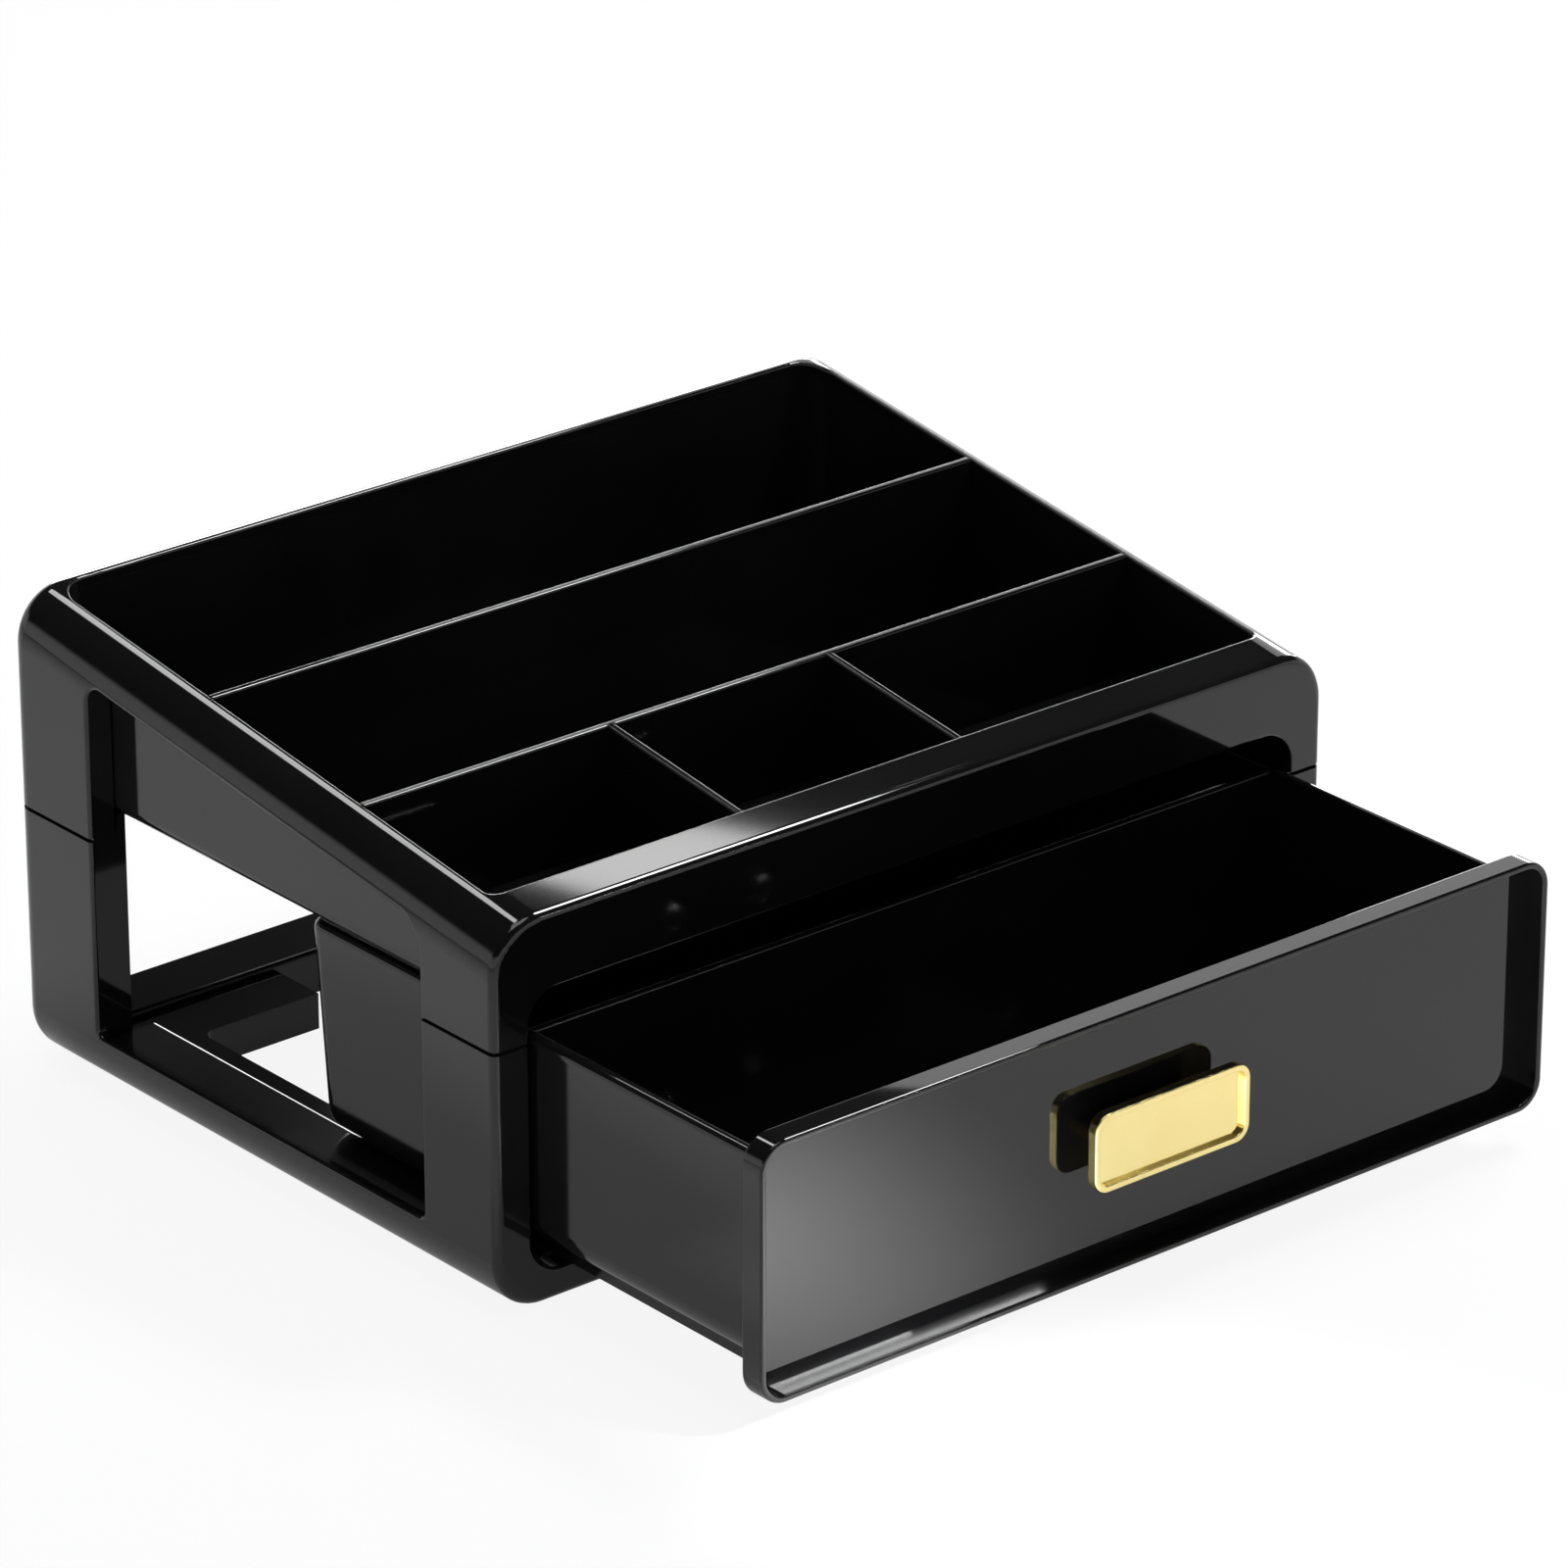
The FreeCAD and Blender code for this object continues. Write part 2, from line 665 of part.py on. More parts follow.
# Opening in the floor, wider at the back between two corner pads
cut_half = HALF - D.ledge_width
neck_half = HALF - D.floor_neck
corner = D.floor_cut_radius
floor_cut = [(-cut_half, D.floor_cut_front, corner), (cut_half, D.floor_cut_front, corner),
             (cut_half, D.floor_cut_rear, corner), (neck_half, D.floor_cut_rear),
             (neck_half, RAIL_FRONT), (-neck_half, RAIL_FRONT),
             (-neck_half, D.floor_cut_rear), (-cut_half, D.floor_cut_rear, corner)]
prism(base, "floor_opening", "XY", -1, D.floor_height + 1, [floor_cut], cut=True)

# Cored underside: pockets between ribs in the ledges and both cross rails


def cores(count, start, end, across_low, across_high, along_x):
    """A row of rectangular cores between ribs."""
    pitch = (end - start + D.rib) / count
    loops = []
    for i in range(count):
        first = start + pitch * i
        last = first + pitch - D.rib
        if along_x:
            loops.append(rectangle(first, last, across_low, across_high))
        else:
            loops.append(rectangle(across_low, across_high, first, last))
    return loops


core_reach = HALF - D.foot_side_inset - D.foot_diameter / 2 - D.rib
ledge_cores = cores(4, D.front_leg + D.rib, REAR_LEG_FRONT - D.rib,
                    cut_half + D.rib, HALF - D.roll_radius, False)
prism(base, "ledge_cores", "XY", -1, D.floor_height - D.skin, both_sides(ledge_cores), cut=True)
prism(base, "front_cores", "XY", -1, D.opening_low - D.skin,
      cores(6, -core_reach, core_reach, D.front_edge + D.rib, D.floor_cut_front - D.rib, True),
      cut=True)
prism(base, "rear_cores", "XY", -1, D.rear_rail_height - D.skin,
      cores(6, -core_reach, core_reach, RAIL_FRONT + D.rib, D.body_depth - D.rear_radius, True),
      cut=True)

foot_spots = {}
for end, y in (("front", D.foot_front_inset), ("rear", D.body_depth - D.foot_rear_inset)):
    foot_spots[f"{end}_left"] = (D.foot_side_inset - HALF, y)
    foot_spots[f"{end}_right"] = (HALF - D.foot_side_inset, y)
prism(base, "foot_seats", "XY", -1, D.foot_recess,
      [("circle", x, y, D.foot_diameter + D.foot_play) for x, y in foot_spots.values()],
      cut=True)

# Low stops on the floor catch the heels of the drawer when it is pulled out
stop_far = HALF - D.skid_inset - D.skid_width - D.joint_gap * 2
stop = rectangle(stop_far - D.stop_width, stop_far, D.stop_place, D.stop_place + D.stop_length)
prism(base, "drawer_stops", "XY", D.floor_height, D.floor_height + D.stop_height,
      both_sides([stop]))

rail_far = SIDE_INNER - D.rail_gap
rail_near = rail_far - D.rail_width
rail_middle = (rail_near + rail_far) / 2
bay_middle = (D.front_leg + REAR_LEG_FRONT) / 2
peg_spots = [bay_middle - D.peg_spacing, bay_middle, bay_middle + D.peg_spacing]
prism(base, "peg_holes", "XY", D.floor_height - D.peg_length - 0.5, D.floor_height + 1,
      both_sides([("circle", rail_middle, y, D.peg_diameter + D.rail_gap) for y in peg_spots]),
      cut=True)

screw_hole = D.leg_screw_shank + D.hole_play * 2
side_prisms(base, "screw_holes", OPENING_HALF - 1, LEG_INNER + 0.5,
            [("circle", y, SCREW_HEIGHT, screw_hole) for y in screw_spots], cut=True)
sink = (D.leg_screw_head - D.leg_screw_shank) / 2
hole_rim = screw_hole.number / 2


def on_screw_mouth(edge):
    """Mouth of a screw hole on the drawer side of a leg."""
    round_edge = isinstance(edge.Curve, Part.Circle) and near_number(edge.Curve.Radius, hole_rim)
    return round_edge and near_number(abs(edge.CenterOfMass.x), OPENING_HALF)


chamfer(base, "screw_sinks", sink, on_screw_mouth)
rail_top = D.rear_rail_height.number


def on_rail_top(edge):
    box = edge.BoundBox
    return (near_number(box.ZMin, rail_top) and near_number(box.ZMax, rail_top)
            and near_number(box.YMin, RAIL_FRONT) and box.XLength > D.body_width.number / 2)


fillet(base, "rail_top", D.rear_rail_edge, on_rail_top)
place_fixed(base)


# Compartment tray, trapped between the rim of the deck and the tongues of the base

tray = new_body("compartment_tray")
outer_front_radius = D.rim_front_radius + D.tray_wall
outer_rear_radius = D.rim_rear_radius + D.tray_wall
prism(tray, "form", "XY", TRAY_BOTTOM, D.rear_height + 5,
      [rectangle(-TRAY_HALF - D.tray_wall, TRAY_HALF + D.tray_wall, TRAY_FRONT - D.tray_wall,
                 TRAY_REAR + D.tray_wall, outer_front_radius, outer_rear_radius)])
tray_low = TRAY_BOTTOM.number
fillet(tray, "lower_edge", D.tray_edge_radius, lambda e: e.BoundBox.ZMax < tray_low + 0.01)
tray_high = D.rear_height.number + 4.9
shell(tray, "basin", D.tray_wall, lambda f: f.BoundBox.ZMin > tray_high)

slot_half = D.divider_thickness / 2 + D.slot_fit
slot_end = TRAY_HALF + D.slot_depth
slot_low = TRAY_FLOOR - D.slot_depth
for name, place in (("front", D.front_divider_place), ("rear", D.rear_divider_place)):
    prism(tray, f"{name}_slot", "XY", slot_low, D.rear_height + FAR,
          [rectangle(-slot_end, slot_end, place - slot_half, place + slot_half)], cut=True)
short_places = {"left": D.left_divider_place - HALF, "middle": D.middle_divider_place - HALF}
short_rear = D.front_divider_place - D.divider_thickness / 2
for name, x in short_places.items():
    prism(tray, f"{name}_slot", "XY", slot_low, D.rear_height + FAR,
          [rectangle(x - slot_half, x + slot_half, TRAY_FRONT - D.slot_depth, short_rear)],
          cut=True)


def under_rim(body, y):
    """Section of the space taken by the rim at a distance behind the front."""
    half = SIDE_INNER - D.tray_fit
    crown = rim_height(y) - D.skin - D.tray_fit
    inner_radius = D.roll_radius - D.skin
    low = D.parting_height
    high = D.rear_height + FAR
    arch = [(-half, low), (-half, crown, inner_radius), (half, crown, inner_radius),
            (half, low), (HALF + FAR, low), (HALF + FAR, high), (-HALF - FAR, high),
            (-HALF - FAR, low)]
    return add_sketch(body, f"under_rim_{int(as_length(y).number)}", "XZ", y, [arch])


loft_cut(tray, "rim_trim", [under_rim(tray, as_length(0)), under_rim(tray, D.body_depth)])
back_limit = D.body_depth - D.skin - D.tray_fit
back_start = TRAY_REAR - D.rim_rear_radius
back_trim = [(back_limit, D.parting_height),
             (back_limit, rim_height(back_limit) - D.skin - D.tray_fit, D.rear_radius - D.skin),
             (back_start, rim_height(back_start) - D.skin - D.tray_fit),
             (back_start, D.rear_height + FAR), (D.body_depth + FAR, D.rear_height + FAR),
             (D.body_depth + FAR, D.parting_height)]
prism(tray, "back_trim", "YZ", -HALF, HALF, [back_trim], cut=True)
place_fixed(tray)


# Tray dividers: two long ones across the tray, two short ones in front of them


def long_divider(label, place, grooves):
    """Plate across the tray. Its ends sit in the wall slots, below the rim."""
    body = new_body(label)
    end = slot_end - D.slot_fit
    crown = rim_height(place) - D.divider_drop
    shoulder = rim_height(place) - D.divider_shoulder
    inner = TRAY_HALF - D.tray_reveal * 2
    low = slot_low + 0.05
    plate = [(-end, low), (end, low), (end, shoulder), (inner, shoulder), (inner, crown),
             (-inner, crown), (-inner, shoulder), (-end, shoulder)]
    front = place - D.divider_thickness / 2
    prism(body, "plate", "XZ", front, front + D.divider_thickness, [plate])
    level = crown.number
    fillet(body, "top_edge", D.divider_thickness * 0.3,
           lambda e: near_number(e.BoundBox.ZMin, level) and e.BoundBox.XLength > 100)
    if grooves:
        loops = [rectangle(x - slot_half, x + slot_half, front - 1, front + D.slot_depth)
                 for x in grooves]
        prism(body, "grooves", "XY", low - 1, crown + 1, loops, cut=True)
    place_fixed(body)


def short_divider(label, x):
    """Plate from the front wall of the tray to the front long divider."""
    body = new_body(label)
    front = TRAY_FRONT - D.slot_depth + D.slot_fit
    rear = short_rear + D.slot_depth - D.slot_fit
    inner = TRAY_FRONT + D.tray_reveal
    low = slot_low + 0.05
    plate = [(front, low), (rear, low), (rear, rim_height(rear) - D.divider_drop),
             (inner, rim_height(inner) - D.divider_drop),
             (inner, rim_height(inner) - D.divider_shoulder),
             (front, rim_height(inner) - D.divider_shoulder)]
    left = x - D.divider_thickness / 2
    prism(body, "plate", "YZ", left, left + D.divider_thickness, [plate])
    slope = rim_height(inner).number - D.divider_drop.number
    fillet(body, "top_edge", D.divider_thickness * 0.3,
           lambda e: near_number(e.BoundBox.ZMin, slope) and e.BoundBox.YLength > 10)
    place_fixed(body)


long_divider("tray_divider_front", D.front_divider_place, list(short_places.values()))
long_divider("tray_divider_rear", D.rear_divider_place, [])
for name, x in short_places.items():
    short_divider(f"tray_divider_{name}", x)


# Guide rails: hollow strips pegged to the floor ledges, which keep the drawer straight

for side, sign in (("left", -1), ("right", 1)):
    rail = new_body(f"guide_rail_{side}")
    low, high = D.floor_height, D.floor_height + D.rail_height
    front, rear = D.front_leg + D.rail_gap, REAR_LEG_FRONT - D.rail_gap * 2
    ends = (rail_near, rail_far) if sign > 0 else (-rail_far, -rail_near)
    prism(rail, "strip", "XY", low, high, [rectangle(ends[0], ends[1], front, rear)])
    inner_edge = rail_near.number
    top = high.number
    fillet(rail, "edge", D.rail_edge,
           lambda e: near_number(abs(e.BoundBox.XMax), inner_edge) and e.BoundBox.YLength > 50
           and near_number(e.BoundBox.ZMin, top))
    wall = D.rail_wall
    prism(rail, "hollow", "XY", low - 1, high - wall,
          [rectangle(ends[0] + wall, ends[1] - wall, front + wall, rear - wall)], cut=True)
    prism(rail, "pegs", "XY", low - D.peg_length, high - wall,
          [("circle", sign * rail_middle, y, D.peg_diameter) for y in peg_spots])
    place_fixed(rail)


# Rubber feet, pressed into round seats under the four corners

for corner_name, (x, y) in foot_spots.items():
    foot = new_body(f"rubber_foot_{corner_name}")
    prism(foot, "disc", "XY", -D.foot_proud, D.foot_recess, [("circle", x, y, D.foot_diameter)])
    sole = -D.foot_proud.number
    fillet(foot, "sole_edge", D.foot_edge, lambda e: near_number(e.BoundBox.ZMax, sole, 0.01))
    place_fixed(foot)


# Leg screws: countersunk, driven from the drawer side into the posts of the deck

leg_screws = new_body("leg_screws", 4)
head_start = OPENING_HALF + 0.15
side_prisms(leg_screws, "heads", head_start, head_start + sink,
            [("circle", y, SCREW_HEIGHT, D.leg_screw_head) for y in screw_spots])
head_end = (head_start + sink).number
chamfer(leg_screws, "cones", sink - 0.1,
        lambda e: isinstance(e.Curve, Part.Circle)
        and near_number(abs(e.CenterOfMass.x), head_end, 0.01))
side_prisms(leg_screws, "shanks", head_start + sink, pilot_end - D.tip_gap,
            [("circle", y, SCREW_HEIGHT, D.leg_screw_shank) for y in screw_spots])
place_fixed(leg_screws)


# Drawer tub: thin-walled, rolled lower edges, rear wall leaning in, skids under the floor

tub = new_body("drawer_tub")
prism(tub, "form", "XZ", TUB_FRONT, TUB_REAR,
      [[(-TUB_HALF, TUB_BOTTOM, D.tub_edge_radius), (TUB_HALF, TUB_BOTTOM, D.tub_edge_radius),
        (TUB_HALF, TUB_TOP), (-TUB_HALF, TUB_TOP)]])
behind = [(TUB_REAR, TUB_TOP), (TUB_REAR - D.tub_rear_lean, TUB_BOTTOM),
          (TUB_REAR + FAR, TUB_BOTTOM), (TUB_REAR + FAR, TUB_TOP)]
prism(tub, "rear_lean", "YZ", -TUB_HALF - 1, TUB_HALF + 1, [behind], cut=True)
rear_zone = TUB_REAR.number - D.tub_rear_lean.number - 0.1
tub_high = TUB_TOP.number
fillet(tub, "rear_edges", D.tub_rear_radius,
       lambda e: e.BoundBox.YMin > rear_zone and e.BoundBox.ZMin < tub_high - 1)
shell(tub, "hollow", D.tub_wall, lambda f: f.BoundBox.ZMin > tub_high - 0.01)

boss_half = TUB_HALF - D.boss_inset
boss_heights = [FASCIA_MIDDLE - D.boss_height, FASCIA_MIDDLE + D.boss_height]
bosses = [(boss_half, z) for z in boss_heights]
handle_holes = both_sides([("circle", D.handle_post_spacing / 2, FASCIA_MIDDLE,
                            D.handle_screw + D.hole_play)])
spigot_low = TUB_BOTTOM + D.spigot_margin
spigot_high = TUB_TOP - D.spigot_margin
spigot_half = TUB_HALF - D.spigot_margin
prism(tub, "fascia_seat", "XZ", TUB_FRONT - 1, TUB_FRONT + D.spigot_depth + 0.1,
      [rectangle(-spigot_half, spigot_half, spigot_low, spigot_high)], cut=True)
boss_holes = both_sides([("circle", x, z, D.boss_diameter + D.hole_play) for x, z in bosses])
prism(tub, "front_holes", "XZ", TUB_FRONT - 1, TUB_WALL_REAR + 1, handle_holes + boss_holes,
      cut=True)

skid_far = HALF - D.skid_inset
skid_near = skid_far - D.skid_width
skid_high = TUB_BOTTOM + D.tub_wall / 2
skid_rear = TUB_REAR - D.tub_rear_lean - D.tub_rear_radius
skid = [(D.skid_front + D.skid_width, SKID_LOW), (skid_rear, SKID_LOW), (skid_rear, skid_high),
        (D.skid_front, skid_high), (D.skid_front, SKID_LOW + D.skid_width)]
side_prisms(tub, "skids", skid_near, skid_far, [skid])
heel_near = stop_far - D.stop_width
heel = rectangle(heel_near, skid_near + 0.5, D.heel_place - D.heel_length, D.heel_place)
prism(tub, "heels", "XY", SKID_LOW, skid_high, both_sides([heel]))

slot_gap = D.divider_thickness / 2 + D.slot_fit
slot_ribs = []
for sign in (-1, 1):
    near_face = D.drawer_divider_place + sign * slot_gap
    far_face = near_face + sign * D.slot_rib
    first, last = (far_face, near_face) if sign < 0 else (near_face, far_face)
    slot_ribs.append(rectangle(TUB_INNER - D.slot_rib, TUB_INNER + 0.5, first, last))
prism(tub, "slot_ribs", "XY", TUB_BOTTOM + D.tub_edge_radius, TUB_TOP - D.tub_wall,
      both_sides(slot_ribs))


def on_tub_top(edge):
    box = edge.BoundBox
    return near_number(box.ZMin, tub_high, 0.01) and near_number(box.ZMax, tub_high, 0.01) \
        and box.YMax > TUB_WALL_REAR.number - 0.01


def on_tub_outside(edge):
    """Outer edge of the tub's mouth at the sides and the back."""
    box = edge.BoundBox
    across = max(box.XMax, -box.XMin) > TUB_INNER.number + 1
    back = box.YMax > TUB_REAR.number - D.tub_wall.number + 1
    outside = max(box.XMin, -box.XMax) > TUB_INNER.number + 1 or back
    return on_tub_top(edge) and across and outside


fillet(tub, "outer_edge", D.tub_outer_edge, on_tub_outside)
fillet(tub, "inner_edge", D.tub_inner_edge,
       lambda e: on_tub_top(e) and max(e.BoundBox.XMax, -e.BoundBox.XMin) < TUB_INNER.number + 0.1)
place_in_drawer(tub)


# Drawer divider, dropped between the ribs of the tub

inner_divider = new_body("drawer_divider")
divider_half = TUB_INNER - D.slot_fit * 2
divider_low = TUB_BOTTOM + D.tub_wall + 0.05
divider_high = TUB_TOP - D.slot_fit * 2
divider_radius = D.tub_edge_radius - D.tub_wall + 0.5
front = D.drawer_divider_place - D.divider_thickness / 2
prism(inner_divider, "plate", "XZ", front, front + D.divider_thickness,
      [[(-divider_half, divider_low, divider_radius), (divider_half, divider_low, divider_radius),
        (divider_half, divider_high), (-divider_half, divider_high)]])
divider_level = divider_high.number
fillet(inner_divider, "top_edge", D.divider_thickness * 0.3,
       lambda e: near_number(e.BoundBox.ZMin, divider_level) and e.BoundBox.XLength > 100)
place_in_drawer(inner_divider)


# Drawer fascia: thin raised rim round a deep polished panel, with a spigot and bosses behind

fascia = new_body("drawer_fascia")
fascia_half = HALF - D.fascia_margin
prism(fascia, "form", "XZ", FASCIA_FRONT, TUB_FRONT,
      [rectangle(-fascia_half, fascia_half, FASCIA_LOW, FASCIA_HIGH, D.fascia_radius)])
recess = rectangle(-fascia_half + D.fascia_rim, fascia_half - D.fascia_rim,
                   FASCIA_LOW + D.fascia_rim, FASCIA_HIGH - D.fascia_rim,
                   D.fascia_radius - D.fascia_rim)
prism(fascia, "recess", "XZ", FASCIA_FRONT - 1, PANEL, [recess], cut=True)
fascia_face = FASCIA_FRONT.number
fascia_rear = TUB_FRONT.number
fillet(fascia, "rim_edges", D.fascia_edge, lambda e: e.BoundBox.YMax < fascia_face + 0.01)
fillet(fascia, "rear_edge", D.fascia_edge, lambda e: e.BoundBox.YMin > fascia_rear - 0.01)
prism(fascia, "spigot", "XZ", TUB_FRONT, TUB_FRONT + D.spigot_depth,
      [rectangle(-spigot_half + D.slot_fit, spigot_half - D.slot_fit,
                 spigot_low + D.slot_fit, spigot_high - D.slot_fit)])
boss_end = TUB_WALL_REAR - 0.1
prism(fascia, "bosses", "XZ", TUB_FRONT, boss_end,
      both_sides([("circle", x, z, D.boss_diameter) for x, z in bosses]))
boss_pilot = D.fascia_screw_shank + D.thread_play
prism(fascia, "boss_pilots", "XZ", boss_end - D.fascia_screw_length - D.tip_gap, boss_end + 1,
      both_sides([("circle", x, z, boss_pilot) for x, z in bosses]), cut=True)
prism(fascia, "handle_holes", "XZ", PANEL - 1, TUB_WALL_REAR + 1, handle_holes, cut=True)
place_in_drawer(fascia)


# Fascia screws: broad flat heads, driven from inside the tub into the bosses

fascia_screws = new_body("fascia_screws", 4)
prism(fascia_screws, "heads", "XZ", TUB_WALL_REAR, TUB_WALL_REAR + D.fascia_screw_cap,
      both_sides([("circle", x, z, D.fascia_screw_head) for x, z in bosses]))
head_face = (TUB_WALL_REAR + D.fascia_screw_cap).number
fillet(fascia_screws, "domes", D.fascia_screw_cap * 0.6,
       lambda e: near_number(e.BoundBox.YMin, head_face, 0.01))
prism(fascia_screws, "shanks", "XZ", boss_end - D.fascia_screw_length, TUB_WALL_REAR,
      both_sides([("circle", x, z, D.fascia_screw_shank) for x, z in bosses]))
place_in_drawer(fascia_screws)


# Handle: cast plate with a raised border, on two turned posts screwed from inside the tub

plate = new_body("handle_plate")
plate_half = D.plate_width / 2
plate_low = FASCIA_MIDDLE - D.plate_height / 2
plate_high = FASCIA_MIDDLE + D.plate_height / 2
post_x = D.handle_post_spacing / 2
prism(plate, "form", "XZ", PLATE_FRONT, PLATE_BACK,
      [rectangle(-plate_half, plate_half, plate_low, plate_high, D.plate_radius)])
dish = rectangle(-plate_half + D.plate_border, plate_half - D.plate_border,
                 plate_low + D.plate_border, plate_high - D.plate_border,
                 D.plate_radius - D.plate_border)
prism(plate, "dish", "XZ", PLATE_FRONT - 1, PLATE_FRONT + D.plate_recess, [dish], cut=True)
prism(plate, "sockets", "XZ", PLATE_BACK - D.handle_socket_depth - 0.1, PLATE_BACK + 1,
      both_sides([("circle", post_x, FASCIA_MIDDLE, D.handle_spigot + D.thread_play)]), cut=True)
plate_face = PLATE_FRONT.number
plate_rear = PLATE_BACK.number
fillet(plate, "face_edges", D.plate_edge, lambda e: e.BoundBox.YMax < plate_face + 0.01)
fillet(plate, "rear_edge", D.plate_edge,
       lambda e: e.BoundBox.YMin > plate_rear - 0.01 and e.BoundBox.DiagonalLength > 6)
place_in_drawer(plate)

posts = new_body("handle_posts", 2)
prism(posts, "barrels", "XZ", PLATE_BACK, PANEL,
      both_sides([("circle", post_x, FASCIA_MIDDLE, D.handle_post)]))
prism(posts, "spigots", "XZ", PLATE_BACK - D.handle_socket_depth, PLATE_BACK,
      both_sides([("circle", post_x, FASCIA_MIDDLE, D.handle_spigot)]))
prism(posts, "bores", "XZ", PANEL - D.handle_screw_reach - D.tip_gap, PANEL + 1,
      both_sides([("circle", post_x, FASCIA_MIDDLE, D.handle_screw + D.thread_play)]), cut=True)
place_in_drawer(posts)

washers = new_body("handle_washers", 2)
washer_rear = TUB_WALL_REAR + D.washer_thickness
prism(washers, "discs", "XZ", TUB_WALL_REAR, washer_rear,
      both_sides([("circle", post_x, FASCIA_MIDDLE, D.washer_diameter)]))
prism(washers, "holes", "XZ", TUB_WALL_REAR - 1, washer_rear + 1,
      both_sides([("circle", post_x, FASCIA_MIDDLE, D.handle_screw + D.hole_play)]), cut=True)
place_in_drawer(washers)

handle_screws = new_body("handle_screws", 2)
prism(handle_screws, "heads", "XZ", washer_rear, washer_rear + D.handle_screw_cap,
      both_sides([("circle", post_x, FASCIA_MIDDLE, D.handle_screw_head)]))
cap_face = (washer_rear + D.handle_screw_cap).number
fillet(handle_screws, "domes", D.handle_screw_cap * 0.4,
       lambda e: near_number(e.BoundBox.YMin, cap_face, 0.01))
prism(handle_screws, "shanks", "XZ", PANEL - D.handle_screw_reach, washer_rear,
      both_sides([("circle", post_x, FASCIA_MIDDLE, D.handle_screw)]))
place_in_drawer(handle_screws)


# Check every object and write one file per node

doc.recompute()
for thing in doc.Objects:
    if "Invalid" in thing.State or "Error" in thing.State:
        raise RuntimeError(f"{thing.Name} failed: {thing.State}")
for label, (body, pieces) in NODES.items():
    shape = body.Shape
    if shape.isNull() or not shape.isValid():
        raise RuntimeError(f"{label} has no valid shape")
    if len(shape.Solids) != pieces:
        raise RuntimeError(f"{label} has {len(shape.Solids)} solids, not {pieces}")
os.makedirs("parts", exist_ok=True)
for label, (body, pieces) in NODES.items():
    body.Shape.exportStep(os.path.join("parts", f"{label}.step"))
    print(f"{label}: {pieces} solid(s), {body.Shape.Volume / 1000:.2f} cm3")
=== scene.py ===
import math

import bmesh
import bpy
from mathutils import Matrix, Vector


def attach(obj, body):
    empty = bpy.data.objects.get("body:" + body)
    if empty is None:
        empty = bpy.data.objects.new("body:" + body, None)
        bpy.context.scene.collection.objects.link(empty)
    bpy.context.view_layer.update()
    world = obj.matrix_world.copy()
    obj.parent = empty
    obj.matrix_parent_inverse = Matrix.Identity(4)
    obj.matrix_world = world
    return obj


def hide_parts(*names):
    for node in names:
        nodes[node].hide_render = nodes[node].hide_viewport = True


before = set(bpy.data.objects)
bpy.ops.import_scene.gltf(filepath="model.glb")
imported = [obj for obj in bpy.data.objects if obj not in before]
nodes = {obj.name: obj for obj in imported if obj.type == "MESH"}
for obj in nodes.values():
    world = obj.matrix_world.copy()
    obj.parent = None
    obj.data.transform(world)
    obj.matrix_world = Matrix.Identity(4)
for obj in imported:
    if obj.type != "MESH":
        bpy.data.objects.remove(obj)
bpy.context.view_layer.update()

scene = bpy.context.scene


# The camera stands where the photograph's perspective puts it, in metres from the origin:
# turned 40 degrees to the right of straight ahead and looking 24 degrees down, with a long lens.

camera_data = bpy.data.cameras.new("camera")
camera = bpy.data.objects.new("camera", camera_data)
scene.collection.objects.link(camera)
camera.location = (-1.386465, -1.651367, 1.043589)
turn = Matrix.Rotation(math.radians(-39.987), 4, "Z")
tilt = Matrix.Rotation(math.radians(90 - 23.716), 4, "X")
roll = Matrix.Rotation(math.radians(-0.071), 4, "Z")
camera.rotation_mode = "QUATERNION"
camera.rotation_quaternion = (turn @ tilt @ roll).to_quaternion()
camera_data.lens = 194.02
camera_data.sensor_width = 36
camera_data.clip_start = 0.05
camera_data.clip_end = 50
scene.camera = camera
scene.view_settings.view_transform = "Standard"


# The deck is one injection moulding in black plastic from a mirror-polished mould. Its polish is
# nearly even, and its walls keep the long shallow waves of cooling, so reflections swim a little.


class Value:
    """An output socket that adds, subtracts and multiplies like a number."""

    def __init__(self, sheet, socket):
        self.sheet = sheet
        self.socket = socket

    def combine(self, operation, first, second):
        return self.sheet.node("Math", {"operation": operation}, _0=first, _1=second)

    def __add__(self, other):
        return self.combine("ADD", self, other)

    def __radd__(self, other):
        return self.combine("ADD", other, self)

    def __sub__(self, other):
        return self.combine("SUBTRACT", self, other)

    def __rsub__(self, other):
        return self.combine("SUBTRACT", other, self)

    def __mul__(self, other):
        return self.combine("MULTIPLY", self, other)

    def __rmul__(self, other):
        return self.combine("MULTIPLY", other, self)


